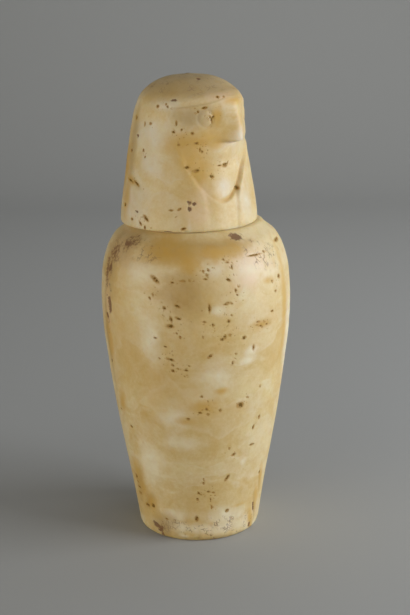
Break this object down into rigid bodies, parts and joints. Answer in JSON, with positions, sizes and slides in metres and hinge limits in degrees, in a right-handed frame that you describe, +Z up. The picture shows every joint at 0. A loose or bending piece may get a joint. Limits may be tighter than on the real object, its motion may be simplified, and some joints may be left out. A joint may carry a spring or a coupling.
{
  "type": "canopic jar",
  "caption": "Tall hollow stone vessel tapering to a narrow flat foot, closed by a separate lid carved as a falcon head in a long wig.",
  "frame": {"origin": "centre of the jar's round foot, on the surface it stands on", "axes": "+Z up along the jar's axis; the lid's face looks along -Y, its right side is -X"},
  "size_m": [0.165, 0.165, 0.4012],
  "materials": {
    "jar_stone": "honey-cream banded travertine, worn satin polish, brown pits and stains",
    "lid_stone": "paler cream travertine, worn satin polish, brown pits and an amber crown"
  },
  "bodies": {
    "root": {"jar": "jar_stone", "lid": "lid_stone"}
  },
  "joints": []
}
